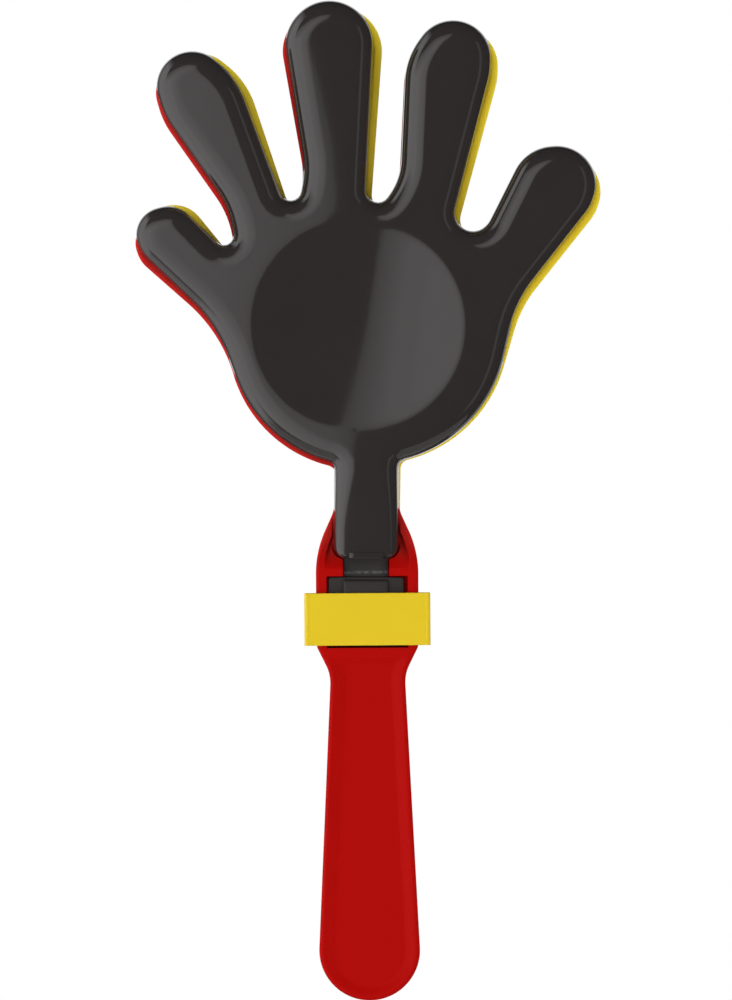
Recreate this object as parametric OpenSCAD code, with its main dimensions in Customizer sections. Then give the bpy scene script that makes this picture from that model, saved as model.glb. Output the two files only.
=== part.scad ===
// Hand clapper: a flat centre hand on a handle, and two domed outer hands that clap against it.
// Each outer hand is one moulding with a foot, a thin hinge neck and a hollow hand.
// A collar pushed over the handle clamps both feet into their pockets.
// Millimetres. +Z runs up the handle to the fingertips, -Y is the front and +X is right from the front.
// The origin is in the middle of the grip.

/* [Grip] */
// Distance from the middle of the grip down to the centre of its round end
grip_down = 35.1; // [25:0.1:50]
// Distance from the middle of the grip up to its narrowest place
grip_up = 40; // [30:0.5:55]
// Radius of the round lower end
grip_end_r = 14.1; // [11:0.1:18]
// Width of the grip at its narrowest place
grip_neck_w = 21; // [16:0.5:24]
// Radius of the hollow at the narrowest place
grip_neck_r = 11; // [8:0.5:25]
// Thickness of the handle over its rims
handle_t = 8.4; // [7:0.2:12]
// Width of the rim round the sunk face of the grip
tray_rim = 2.3; // [1.6:0.1:4]
// Depth of the sunk face
tray_depth = 2; // [0.6:0.1:2.6]
// Corner radius at the upper end of the sunk face
tray_corner_r = 2.5; // [1:0.5:4]

/* [Bulge] */
// Width of the handle where the collar sits
bulge_w = 28.6; // [25:0.2:34]
// Distance from the narrowest place up to the centre of the shoulder curve
shoulder_up = 11.2; // [10.5:0.1:18]
// Radius of the shoulder curve under the collar
shoulder_r = 4; // [2:0.5:11]
// Radius of the long curve that narrows the bulge towards the stem
bulge_r = 28; // [18:1:40]
// Height over which the bulge narrows
bulge_taper = 20.5; // [15:0.5:30]
// Radius of the hollow where the bulge runs into the stem
bulge_hollow_r = 12; // [6:0.5:20]
// Width of the raised rim along the bulge
bulge_rim = 2.4; // [1.6:0.1:3.2]
// Height of the cross bar that keeps the feet from being pulled up
bar_h = 2.3; // [1.5:0.1:4]
// Height of the small ramps behind the cross bar
ramp_h = 7.5; // [3:0.5:12]
// Height over which the rims fade into the centre hand
rim_fade = 16; // [8:0.5:22]

/* [Centre hand] */
// Thickness of the flat centre hand
plate_t = 2.2; // [1.8:0.1:3.4]
// Sideways place of the palm's middle from the handle's middle line
centre_palm_x = -1.2; // [-6:0.1:6]
// Height of the palm's middle above the collar's middle
centre_palm_up = 77.1; // [65:0.1:90]
// How much smaller its heel on the little finger's side is than that of the outer hands
centre_heel_trim = 1.4; // [0:0.1:2]

/* [Stem and palm] */
// Width of the stem below each palm
stem_w = 17.8; // [14:0.2:20]
// Radius of the corners at the lower end of an outer hand's stem
stem_corner_r = 2.5; // [1:0.1:4]
// Radius of the corner between stem and palm
stem_joint_r = 2.5; // [1:0.1:6]
// Radius of the heel on the thumb side
thumb_heel_r = 37.6; // [34:0.1:38]
// Shift of the thumb side's heel away from the thumb
thumb_heel_in = 0.7; // [-1:0.1:2]
// Height of the thumb side's heel above the palm's middle
thumb_heel_up = 1.6; // [0:0.1:4]
// Radius of the heel on the little finger's side
little_heel_r = 38.6; // [35:0.1:39]
// Shift of the little finger's heel away from the thumb
little_heel_out = 2.7; // [1:0.1:4]
// Height of the little finger's heel above the palm's middle
little_heel_up = 3.3; // [1:0.1:6]

/* [Thumb] */
// Direction of the thumb from straight up
thumb_angle = 62.8; // [58:0.1:68]
// Distance from the palm's middle to the centre of the thumb's tip
thumb_reach = 61.6; // [56:0.1:68]
// Radius of the thumb's tip
thumb_r = 8.2; // [7.5:0.1:8.8]
// Distance from there down to the thumb's widest place
thumb_pad_down = 2.6; // [2:0.1:4]
// Radius at its widest place
thumb_pad_r = 8.9; // [8.3:0.1:9.6]
// Direction of the hollow below the thumb
thumb_hollow_angle = 105; // [100:0.5:110]
// Distance from the palm's middle to the centre of that hollow
thumb_hollow_reach = 79.5; // [79.3:0.1:84]
// Radius of that hollow
thumb_hollow_r = 42.8; // [36:0.1:42.9]

/* [Index finger] */
// Direction of the index finger from straight up, towards the thumb
index_angle = 33.9; // [31:0.1:36]
// Distance from the palm's middle to the centre of its tip
index_reach = 84.8; // [78:0.1:92]
// Radius of its tip
index_r = 9.8; // [9:0.1:11]
// Distance from there down to the finger's widest place
index_pad_down = 6.6; // [4:0.1:8]
// Radius at its widest place
index_pad_r = 11.1; // [10:0.1:12]

/* [Middle finger] */
// Direction of the middle finger from straight up, towards the thumb
middle_angle = 6.1; // [4:0.1:8]
// Distance from the palm's middle to the centre of its tip
middle_reach = 82.7; // [76:0.1:92]
// Radius of its tip
middle_r = 12.2; // [10:0.1:12.4]
// Distance from there down to the finger's widest place
middle_pad_down = 1.8; // [1.5:0.1:4]
// Radius at its widest place
middle_pad_r = 12.4; // [12.3:0.1:13]

/* [Ring finger] */
// Direction of the ring finger from straight up, away from the thumb
ring_angle = 18.3; // [16:0.1:21]
// Distance from the palm's middle to the centre of its tip
ring_reach = 82.4; // [75:0.1:90]
// Radius of its tip
ring_r = 10.5; // [9:0.1:11.4]
// Distance from there down to the finger's widest place
ring_pad_down = 5.1; // [3:0.1:7]
// Radius at its widest place
ring_pad_r = 11.5; // [10.6:0.1:12.2]

/* [Little finger] */
// Direction of the little finger from straight up, away from the thumb
little_angle = 52.1; // [49:0.1:56]
// Distance from the palm's middle to the centre of its tip
little_reach = 70.3; // [64:0.1:78]
// Radius of its tip
little_r = 10.1; // [9.8:0.1:11.6]
// Distance from there down to the finger's widest place
little_pad_down = 2; // [1.9:0.1:4]
// Radius at its widest place
little_pad_r = 11.7; // [10.2:0.1:12]
// Direction of the hollow below the little finger
little_hollow_angle = 94.2; // [90:0.1:98]
// Distance from the palm's middle to the centre of that hollow
little_hollow_reach = 76.8; // [76.4:0.1:80]
// Radius of that hollow
little_hollow_r = 35.4; // [28:0.1:35.8]

/* [Gaps between the fingers] */
// Direction of the gap between thumb and index finger
thumb_gap_angle = 51.7; // [50:0.1:54]
// Distance from the palm's middle to that gap's round end
thumb_gap_reach = 49.3; // [46:0.1:53]
// Radius of that gap's round end
thumb_gap_r = 4.3; // [3:0.1:5]
// Direction of the gap between index and middle finger
index_gap_angle = 23.9; // [22:0.1:26]
// Distance from the palm's middle to that gap's round end
index_gap_reach = 46.7; // [43:0.1:52]
// Radius of that gap's round end
index_gap_r = 4; // [3:0.1:4.8]
// Direction of the gap between middle and ring finger
ring_gap_angle = 8.4; // [7:0.1:10]
// Distance from the palm's middle to that gap's round end
ring_gap_reach = 43.2; // [42.8:0.1:49]
// Radius of that gap's round end
ring_gap_r = 4.6; // [3:0.1:5]
// Direction of the gap between ring and little finger
little_gap_angle = 42.3; // [40:0.1:45]
// Distance from the palm's middle to that gap's round end
little_gap_reach = 47.4; // [44:0.1:53]
// Radius of that gap's round end
little_gap_r = 5.1; // [3:0.1:6]

/* [Outer hand shell] */
// Sideways place of an outer palm's middle from the stem's middle line
outer_palm_x = -2; // [-2.8:0.1:2.8]
// Height of an outer palm's middle above the collar's middle
outer_palm_up = 78.8; // [65:0.1:90]
// Depth of the shell from its open rim to its flat crown
shell_d = 8; // [6:0.2:12]
// Wall thickness
shell_wall = 1.3; // [1:0.1:2]
// Depth of the plain side wall below the rounding
skirt_d = 3.4; // [2.5:0.1:4.5]
// How far the side wall leans in over its depth
skirt_draft = 0.7; // [0.3:0.1:1.2]
// How far in from the outline the rounding ends
edge_in = 5.2; // [4:0.1:5.2]
// How far the end of the stem slopes in under the rounding
stem_end_in = 1.4; // [0.5:0.1:3]
// Height of the round dish's middle above the palm's middle
dish_up = 3.6; // [0:0.1:3.8]
// Radius of that dish
dish_r = 29; // [20:0.2:29.2]
// Depth of that dish
dish_d = 1.7; // [0.8:0.1:2.2]

/* [Hinge and foot] */
// Height of the foot's upper end above the collar's middle
foot_up = 11.5; // [9:0.5:14]
// Height of the foot
foot_h = 19.1; // [14:0.1:22]
// Width of the foot over its wings
foot_w = 21.2; // [18:0.2:22]
// Thickness of the wings
wing_t = 2.2; // [1.4:0.1:2.8]
// Width of the hinge neck and of the raised strip on the foot
neck_w = 12.4; // [8:0.2:15]
// Length of the hinge neck between foot and stem
neck_h = 5.5; // [4:0.1:8]
// Thickness of the hinge neck
neck_t = 0.5; // [0.3:0.05:0.9]
// Sideways lean of the front hand, which its foot's play in the pocket allows
front_lean = 0.6; // [-1.4:0.1:1.4]
// Sideways lean of the back hand
back_lean = 1.4; // [-1.4:0.1:1.4]
// Sideways shift of both outer mouldings, which the same play allows
hand_shift = -0.4; // [-0.4:0.1:0.4]
// How far the back moulding has slid down in its pocket
back_drop = 0.4; // [0:0.1:0.4]

/* [Collar] */
// Height of the collar's middle above the narrowest place of the grip
collar_up = 17.8; // [15:0.2:22]
// Outer width of the collar
collar_w = 35.2; // [34:0.2:42]
// Height of the collar
collar_h = 14.7; // [10:0.1:18]
// Wall thickness of the collar
collar_wall = 1.7; // [1.2:0.1:2.2]
// Radius of the collar's upright edges
collar_edge_r = 0.8; // [0.4:0.1:1.1]

/* [Clearances] */
// Gap between the centre hand and the rim of a closed outer hand
clap_gap = 0.35; // [0.25:0.05:0.6]
// Gap between the collar's inner face and the handle's rims
collar_gap = 0.15; // [0.1:0.05:0.3]
// Gap round the foot in its pocket
pocket_gap = 0.7; // [0.7:0.05:0.9]
// Gap beside the hinge neck in the cross bar
notch_gap = 0.7; // [0.5:0.05:1]
// Gap beside the stem between the rims of the bulge
stem_gap = 1.2; // [1:0.1:2]

/* [Hidden] */

// Largest angle of one straight piece of an arc, and its largest distance from the true arc
arc_step = 15;
arc_error = 0.1;
// A circle that the line would go round by more than this isn't reached
most_turn = 270;
// Circles closer than this touch
touch_gap = 0.001;
// Smallest radius of a corner at the stem's end
least_corner_r = 0.3;
// Pieces of the outer and of the inner rounding
outer_steps = 4;
inner_steps = 3;
// Rings of the dish
dish_steps = 4;
// Pieces of the rounded corners at the stem's end
corner_steps = 4;
// Overlap of a cut beyond the face that it opens
over = 1;
$fn = 96;

plate_y = plate_t / 2;
rim_y = handle_t / 2;
clamp_y = rim_y + collar_gap;
shell_y = plate_y + clap_gap;
collar_z = grip_up + collar_up;
foot_top = collar_z + foot_up;
foot_low = foot_top - foot_h;
stem_end = foot_top + neck_h;
hinge_z = foot_top + neck_h / 2;
foot_mid = foot_top - foot_h / 2;
pocket_top = foot_top + pocket_gap;
bar_top = pocket_top + bar_h;
stem_half = stem_w / 2;
bulge_half = bulge_w / 2;
dish_sphere_r = (dish_r * dish_r + dish_d * dish_d) / (2 * dish_d);

echo(front_axis_at = hinge_at(front_lean, 0), back_axis_at = hinge_at(back_lean, back_drop),
     axis_depth = shell_y + neck_t / 2);

// Middle of a hinge neck, turned with its moulding about the middle of the foot: [x, z]
function hinge_at(lean, drop) =
    [hand_shift + (hinge_z - foot_mid) * sin(lean), foot_mid - drop + (hinge_z - foot_mid) * cos(lean)];

// Outlines
// An outline is a closed line drawn tight round circles [x, z, radius], counter-clockwise from the front.
// A radius above zero is a round end, and one below zero is a hollow that the line bends round.
// A circle that the line doesn't reach leaves it straight.
// An outline moved in by d has the same centres, and every signed radius is d smaller.

function full_turn(a) = a - 360 * floor(a / 360);

// Direction of the outward normal on the line between two neighbouring circles
// Circles that just touch give a cosine of one, which rounding must not push further
function line_normal(a, b) = let (along = (a.z - b.z) / norm([b.x - a.x, b.y - a.y]))
    atan2(b.y - a.y, b.x - a.x) - acos(max(-1, min(1, along)));

function arc_pieces(turn, r) =
    max(1, ceil(abs(turn) / min(arc_step, 2 * acos(1 - arc_error / max(abs(r), 2 * arc_error)))));

// Circles that touch, so that one arc starts where the other ends
function touching(a, b) = norm([b.x - a.x, b.y - a.y]) - abs(a.z - b.z) < touch_gap;

// A circle is reached where the line bends round it on its own side,
// and not where it would have to go round the far side
function reached(a, b, c) = let (turn = full_turn(line_normal(b, c) - line_normal(a, b)))
    b.z > 0 ? turn < most_turn : turn > 360 - most_turn;
function tight(c) = let (n = len(c))
    [for (i = [0:n - 1]) if (reached(c[(i + n - 1) % n], c[i], c[(i + 1) % n])) c[i]];

// Arcs of an outline: [centre, signed radius, first direction, turn, pieces, number of its first point]
function arcs(circles) = let (c = tight(circles), n = len(c))
    [for (i = [0:n - 1])
        let (before = c[(i + n - 1) % n], after = c[(i + 1) % n],
             a0 = line_normal(before, c[i]), a1 = line_normal(c[i], after),
             turn = c[i].z > 0 ? full_turn(a1 - a0) : -full_turn(a0 - a1))
        [[c[i].x, c[i].y], c[i].z, a0, turn, arc_pieces(turn, c[i].z), touching(before, c[i]) ? 1 : 0]];

function arc_points(a, d) =
    [for (k = [a[5]:a[4]]) let (t = a[2] + a[3] * k / a[4]) a[0] + (a[1] - d) * [cos(t), sin(t)]];

function outline(c, d = 0) = [for (a = arcs(c)) each arc_points(a, d)];

// A circle at an angle from straight up and a distance from the palm's middle
function reach(palm, angle, dist, r) = [palm.x + dist * sin(angle), palm.y + dist * cos(angle), r];

// A finger is a tip above a wider place, and a round end where one of them lies inside the other
function finger(palm, angle, dist, r, down, pad_r) =
    let (tip = reach(palm, angle, dist, r), pad = reach(palm, angle, dist - down, pad_r))
    abs(pad_r - r) < down ? [pad, tip, pad] : [pad_r > r ? pad : tip];

function little_heel(palm, trim) = [palm.x + little_heel_out, palm.y + little_heel_up, little_heel_r - trim];
function thumb_heel(palm) = [palm.x + thumb_heel_in, palm.y + thumb_heel_up, thumb_heel_r];

// The small hollow that touches the stem's side and the heel
function stem_joint(side, heel) = let (x = side * (stem_half + stem_joint_r))
    [x, heel.y - sqrt(pow(heel.z + stem_joint_r, 2) - pow(x - heel.x, 2)), -stem_joint_r];

// Hollows beside the palm and gaps between the fingers, from the little finger's side to the thumb's
function hollows(palm) = [
    reach(palm, little_hollow_angle, little_hollow_reach, -little_hollow_r),
    reach(palm, little_gap_angle, little_gap_reach, -little_gap_r),
    reach(palm, ring_gap_angle, ring_gap_reach, -ring_gap_r),
    reach(palm, -index_gap_angle, index_gap_reach, -index_gap_r),
    reach(palm, -thumb_gap_angle, thumb_gap_reach, -thumb_gap_r),
    reach(palm, -thumb_hollow_angle, thumb_hollow_reach, -thumb_hollow_r)];

// Fingers in the same order, each one between two of the hollows
function fingers(palm) = [
    finger(palm, little_angle, little_reach, little_r, little_pad_down, little_pad_r),
    finger(palm, ring_angle, ring_reach, ring_r, ring_pad_down, ring_pad_r),
    finger(palm, -middle_angle, middle_reach, middle_r, middle_pad_down, middle_pad_r),
    finger(palm, -index_angle, index_reach, index_r, index_pad_down, index_pad_r),
    finger(palm, -thumb_angle, thumb_reach, thumb_r, thumb_pad_down, thumb_pad_r)];

// Palm and fingers from the stem's right side round to its left side, with the thumb on the left
function hand_circles(palm, trim = 0) = let (h = hollows(palm), f = fingers(palm)) concat(
    [stem_joint(1, little_heel(palm, trim)), little_heel(palm, trim), h[0]],
    [for (i = [0:len(f) - 1]) each concat(f[i], [h[i + 1]])],
    [thumb_heel(palm), stem_joint(-1, thumb_heel(palm))]);

// One side of the handle from its narrowest place up to the stem
function handle_side(side) = [
    [side * (grip_neck_w / 2 + grip_neck_r), grip_up, -grip_neck_r],
    [side * (bulge_half - shoulder_r), grip_up + shoulder_up, shoulder_r],
    [side * (bulge_half - bulge_r), pocket_top, bulge_r],
    [side * (stem_half + bulge_hollow_r), pocket_top + bulge_taper, -bulge_hollow_r]];

function backwards(v) = [for (i = [len(v) - 1:-1:0]) v[i]];

grip_end = [0, -grip_down, grip_end_r];
centre_palm = [centre_palm_x, collar_z + centre_palm_up];
outer_palm = [outer_palm_x, collar_z + outer_palm_up];
dish_mid = outer_palm + [0, dish_up];
handle_circles = concat([grip_end], handle_side(1), hand_circles(centre_palm, centre_heel_trim),
    backwards(handle_side(-1)));

// Solids from outlines
// Draws an outline upright, from y = from to y = to
module upright(from, to) {
    translate([0, to, 0]) rotate([90, 0, 0]) linear_extrude(to - from) children();
}

// Draws a side view, given as [y, z], over the width from x = from to x = to
module sideways(from, to) {
    translate([from, 0, 0]) rotate([90, 0, 90]) linear_extrude(to - from) children();
}

module strip(half_w, low, high) {
    translate([-half_w, low]) square([2 * half_w, high - low]);
}

// Repeats what is made on the back for the front
module both_faces() {
    for (side = [0, 1]) mirror([0, side, 0]) children();
}

// Sunk face of the grip, moved in from the handle's outline and closed below the foot's pocket
module tray_outline() {
    corner_z = foot_low - pocket_gap - tray_rim - tray_corner_r;
    corner_x = grip_neck_w / 2 + grip_neck_r - tray_rim - tray_corner_r
        - sqrt(pow(grip_neck_r, 2) - pow(corner_z - grip_up, 2));
    neck = handle_side(1)[0];
    inner = [
        grip_end - [0, 0, tray_rim],
        neck - [0, 0, tray_rim],
        [corner_x, corner_z, tray_corner_r],
        [-corner_x, corner_z, tray_corner_r],
        [-neck.x, neck.y, neck.z - tray_rim]];
    polygon(outline(inner));
}

// Side view of the handle: full thickness up to the bar, then fading into the centre hand
module handle_side_view() {
    fade_top = bar_top + rim_fade;
    low = -grip_down - grip_end_r - over;
    polygon([[-rim_y, low], [rim_y, low], [rim_y, bar_top], [plate_y, fade_top],
             [-plate_y, fade_top], [-rim_y, bar_top]]);
}

// Space for the foot, its neck and the stem, cut down to the level of the centre hand
module hinge_space() {
    inside = stem_half + stem_gap;
    strip(foot_w / 2 + pocket_gap, foot_low - pocket_gap, pocket_top);
    strip(neck_w / 2 + notch_gap, pocket_top - over, bar_top + over);
    strip(inside, bar_top, bar_top + rim_fade + over);
    intersection() {
        polygon(outline(handle_circles, bulge_rim));
        strip(bulge_half, bar_top, bar_top + rim_fade);
    }
}

module ramps() {
    intersection() {
        upright(0, rim_y) polygon(outline(handle_circles));
        for (side = [-1, 1])
            translate([side * (stem_half + stem_gap + bulge_half) / 2, 0, 0])
                sideways((stem_half + stem_gap - bulge_half) / 2, (bulge_half - stem_half - stem_gap) / 2)
                    polygon([[0, bar_top - bar_h / 2], [rim_y, bar_top - bar_h / 2], [rim_y, bar_top],
                             [plate_y, bar_top + ramp_h], [0, bar_top + ramp_h]]);
    }
}

module handle() {
    color("firebrick") {
        difference() {
            intersection() {
                upright(-rim_y, rim_y) polygon(outline(handle_circles));
                sideways(-bulge_w, bulge_w) handle_side_view();
            }
            both_faces() {
                upright(rim_y - tray_depth, rim_y + over) tray_outline();
                upright(plate_y, rim_y + over) hinge_space();
            }
        }
        upright(-plate_y, plate_y) polygon(outline(handle_circles));
        both_faces() ramps();
    }
}

// Collar: a plain sleeve with rounded upright edges
module round_rect(half_w, half_d, r) {
    square([2 * half_w, 2 * (half_d - r)], center = true);
    square([2 * (half_w - r), 2 * half_d], center = true);
    for (x = [-1, 1], y = [-1, 1])
        translate([x * (half_w - r), y * (half_d - r)]) circle(r);
}

module collar() {
    color("gold")
        translate([0, 0, collar_z - collar_h / 2])
            linear_extrude(collar_h)
                difference() {
                    round_rect(collar_w / 2, clamp_y + collar_wall, collar_edge_r);
                    square([collar_w - 2 * collar_wall, 2 * clamp_y], center = true);
                }
}

// Outer hands, made for the back: the rim faces the centre hand and the crown looks along +Y
// Corner of the stem's lower end on an outline moved in by d, and by lift at the end itself
function stem_corner(side, d, lift) = let (r = max(stem_corner_r - d, least_corner_r))
    [[side * (stem_half - d - r), stem_end + lift + r], r, side > 0 ? -90 : 180, 90, corner_steps, 0];

hand_arcs = let (c = hand_circles(outer_palm), low = [for (side = [-1, 1])
        [side * (stem_half - stem_corner_r), stem_end + stem_corner_r, stem_corner_r]],
        all = arcs(concat(low, c)))
    [for (i = [2:len(all) - 1]) all[i]];

function shell_ring(d, lift) = concat(
    arc_points(stem_corner(-1, d, lift), 0),
    arc_points(stem_corner(1, d, lift), 0),
    [for (a = hand_arcs) each arc_points(a, d)]);

// Rounding from the top of the side wall to the crown, as [move in, depth, lift of the stem's end]
function rounding(in0, in1, depth0, depth1, lift0, lift1, steps) =
    [for (k = [0:steps]) let (t = 90 * k / steps)
        [in0 + (in1 - in0) * (1 - cos(t)), depth0 + (depth1 - depth0) * sin(t),
         lift0 + (lift1 - lift0) * (1 - cos(t))]];

outer_profile = concat([[0, 0, 0]],
    rounding(skirt_draft, edge_in, skirt_d, shell_d, 0, stem_end_in, outer_steps));
inner_profile = concat([[shell_wall, 0, shell_wall]],
    rounding(skirt_draft + shell_wall, edge_in, skirt_d, shell_d - shell_wall,
             shell_wall, shell_wall + stem_end_in, inner_steps));

// Number of the ring's point that is nearest to a circle's centre
function nearest(ring, circle) = let (away = [for (p = ring) norm(p - [circle.x, circle.y])], least = min(away))
    [for (i = [0:len(ring) - 1]) if (away[i] == least) i][0];

// The crown is a palm with six lobes: stem, little, ring, middle and index finger, and thumb
// Each lobe is the stretch of the ring from one point to another, closed by a line through its root
// The fingers lie between the hollows and gaps
crown_ring = shell_ring(edge_in, stem_end_in);
ring_size = len(crown_ring);
cuts = [for (h = hollows(outer_palm)) nearest(crown_ring, h)];
lobes = concat([[ring_size - 1, ring_size + 2 * (corner_steps + 1)]],
    [for (i = [1:len(cuts) - 1]) [cuts[i - 1], cuts[i]]]);
roots = [for (b = lobes) (crown_ring[b[0]] + crown_ring[b[1] % ring_size]) / 2];

// The palm's edge, with the ring numbered from o and the roots from r
function palm_edge(o, r) = let (thumb = len(lobes) - 1) concat(
    [for (i = [lobes[0][1] - ring_size:lobes[1][0]]) o + i],
    [for (k = [1:thumb - 1]) each [r + k, o + lobes[k][1]]],
    [r + thumb],
    [for (i = [lobes[thumb][1]:lobes[0][0]]) o + i],
    [r]);

// Directions of the dish's points: those of the palm's edge, and one more between each two
dish_turns = let (p = concat(crown_ring, roots), e = palm_edge(0, ring_size), n = len(e),
        t = [for (i = e) atan2(p[i].y - dish_mid.y, p[i].x - dish_mid.x)])
    [for (k = [0:n - 1]) each [t[k], t[k] + full_turn(t[(k + 1) % n] - t[k]) / 2]];
dish_sides = len(dish_turns);

// Points of the roots, and of the dish from its edge to its middle, on a crown at the given depth
function crown_points(depth) = concat(
    [for (p = roots) [p.x, depth, p.y]],
    [for (k = [dish_steps:-1:1], t = dish_turns) let (r = dish_r * k / dish_steps)
        [dish_mid.x + r * cos(t),
         depth - dish_d + dish_sphere_r - sqrt(pow(dish_sphere_r, 2) - r * r),
         dish_mid.y + r * sin(t)]],
    [[dish_mid.x, depth - dish_d, dish_mid.y]]);

// Faces of a crown: fans over the lobes, a band from the palm's edge to the dish, and the dish's bowl
function crown_faces(o, r) = let (d = r + len(lobes), m = dish_sides, e = palm_edge(o, r), n = len(e)) concat(
    [for (k = [0:len(lobes) - 1], i = [lobes[k][0]:lobes[k][1] - 1])
        [r + k, o + i % ring_size, o + (i + 1) % ring_size]],
    [for (k = [0:n - 1]) let (next = e[(k + 1) % n], mid = d + 2 * k + 1)
        each [[e[k], mid, mid - 1], [e[k], next, mid], [next, d + (2 * k + 2) % m, mid]]],
    [for (k = [0:dish_steps - 2], i = [0:m - 1]) let (a = d + k * m, j = (i + 1) % m)
        [a + i, a + j, a + m + j, a + m + i]],
    [for (i = [0:m - 1]) let (a = d + (dish_steps - 1) * m) [a + i, a + (i + 1) % m, a + m]]);

function turned(faces) = [for (f = faces) backwards(f)];

// Closed shell: rings from the inner crown down, across the rim and up to the outer crown, then both crowns
module outer_hand() {
    profile = concat(backwards(inner_profile), outer_profile);
    rings = [for (p = profile) [for (q = shell_ring(p[0], p[2])) [q.x, shell_y + p[1], q.y]]];
    n = ring_size;
    last = len(rings) - 1;
    inside = crown_points(shell_y + shell_d - shell_wall);
    outside = crown_points(shell_y + shell_d);
    inside_at = (last + 1) * n;
    sides = [for (k = [0:last - 1], i = [0:n - 1]) let (j = (i + 1) % n)
        [k * n + i, k * n + j, (k + 1) * n + j, (k + 1) * n + i]];
    polyhedron(
        concat([for (r = rings) each r], inside, outside),
        concat(sides, turned(crown_faces(0, inside_at)), crown_faces(last * n, inside_at + len(inside))));
}

// Thin neck between foot and stem, level with the shell's rim
module outer_hinge() {
    upright(shell_y, shell_y + neck_t) strip(neck_w / 2, foot_top, stem_end);
}

// T foot: wings under the bar, and a raised strip that the collar presses on
module outer_foot() {
    upright(plate_y, plate_y + wing_t) strip(foot_w / 2, foot_low, foot_top);
    upright(plate_y, clamp_y) strip(neck_w / 2, foot_low, foot_top);
}

// Turns a moulding sideways about the middle of its foot, and shifts it in its pocket
module lean(angle, drop) {
    translate([hand_shift, 0, foot_mid - drop]) rotate([0, angle, 0]) translate([0, 0, -foot_mid]) children();
}

module at_front() {
    lean(front_lean, 0) mirror([0, 1, 0]) children();
}

module at_back() {
    lean(back_lean, back_drop) children();
}

module front_hand() { color("dimgray") at_front() outer_hand(); }
module front_hinge() { color("dimgray") at_front() outer_hinge(); }
module front_foot() { color("dimgray") at_front() outer_foot(); }
module back_hand() { color("goldenrod") at_back() outer_hand(); }
module back_hinge() { color("goldenrod") at_back() outer_hinge(); }
module back_foot() { color("goldenrod") at_back() outer_foot(); }

handle();
collar();
front_hand();
front_hinge();
front_foot();
back_hand();
back_hinge();
back_foot();
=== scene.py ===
import bmesh
import bpy
import numpy as np
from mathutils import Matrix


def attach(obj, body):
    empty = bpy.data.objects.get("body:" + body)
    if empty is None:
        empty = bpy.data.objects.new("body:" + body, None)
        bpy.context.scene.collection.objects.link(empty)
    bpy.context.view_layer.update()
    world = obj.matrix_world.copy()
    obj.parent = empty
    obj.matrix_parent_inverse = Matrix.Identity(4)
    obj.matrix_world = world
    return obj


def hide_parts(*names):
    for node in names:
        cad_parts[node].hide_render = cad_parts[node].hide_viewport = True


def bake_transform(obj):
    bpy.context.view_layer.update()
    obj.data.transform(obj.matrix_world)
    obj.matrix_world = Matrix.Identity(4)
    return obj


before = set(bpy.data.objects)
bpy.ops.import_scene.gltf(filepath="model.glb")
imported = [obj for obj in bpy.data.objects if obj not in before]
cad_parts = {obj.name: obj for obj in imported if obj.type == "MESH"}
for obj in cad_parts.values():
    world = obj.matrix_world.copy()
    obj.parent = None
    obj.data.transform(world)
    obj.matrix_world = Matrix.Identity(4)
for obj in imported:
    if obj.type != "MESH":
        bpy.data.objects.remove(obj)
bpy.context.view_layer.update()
mm = 0.001
print("frame loaded")


# A belt is a closed line drawn tight round circles (x, z, radius), counter-clockwise from the front.
# A positive radius is a round end and a negative one a hollow. The straight line between two circles
# has its outward normal at the angle of the centre line less arccos((r1 - r2) / distance).
def beltArcs(circles):
    c = np.array(circles, float)
    after = np.roll(c, -1, axis=0)
    step = after[:, :2] - c[:, :2]
    cosine = (c[:, 2] - after[:, 2]) / np.hypot(step[:, 0], step[:, 1])
    leave = np.arctan2(step[:, 1], step[:, 0]) - np.arccos(np.clip(cosine, -1, 1))
    arrive = np.roll(leave, 1)
    roundTurn = np.mod(leave - arrive, 2 * np.pi)
    hollowTurn = -np.mod(arrive - leave, 2 * np.pi)
    return c, arrive, np.where(c[:, 2] > 0, roundTurn, hollowTurn)


# Along a belt u goes from 2i to 2i + 1 over circle i's arc, then to 2i + 2 over the line after it.
def beltPoints(circles, u):
    c, arrive, turn = beltArcs(circles)
    i = np.floor(u / 2).astype(int)
    onArc = np.clip(u - 2 * i, 0, 1)
    onLine = np.clip(u - 2 * i - 1, 0, 1)
    i = i % len(c)
    j = (i + 1) % len(c)
    angle = arrive[i] + turn[i] * onArc
    point = c[i, :2] + c[i, 2:] * np.stack([np.cos(angle), np.sin(angle)], 1)
    start = c[j, :2] + c[j, 2:] * np.stack([np.cos(arrive[j]), np.sin(arrive[j])], 1)
    return point + (start - point) * onLine[:, None]


# u at steps of even length between the cuts, with so many steps in each part
def evenSteps(circles, cuts, counts):
    fine = np.linspace(cuts[0], cuts[-1], 9000)
    p = np.diff(beltPoints(circles, fine), axis=0)
    run = np.concatenate([[0], np.cumsum(np.hypot(p[:, 0], p[:, 1]))])
    at = np.interp(cuts, fine, run)
    parts = [np.linspace(a, b, n, endpoint=False) for a, b, n in zip(at, at[1:], counts)]
    return np.interp(np.concatenate(parts), run, fine)


def smoothStep(t):
    t = np.clip(t, 0, 1)
    return t * t * (3 - 2 * t)


# quarter round from (0, 0) to (1, 1): first along y, then along d
def quarter(count):
    t = np.linspace(0, np.pi / 2, count)
    return 1 - np.cos(t), np.sin(t)


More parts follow.
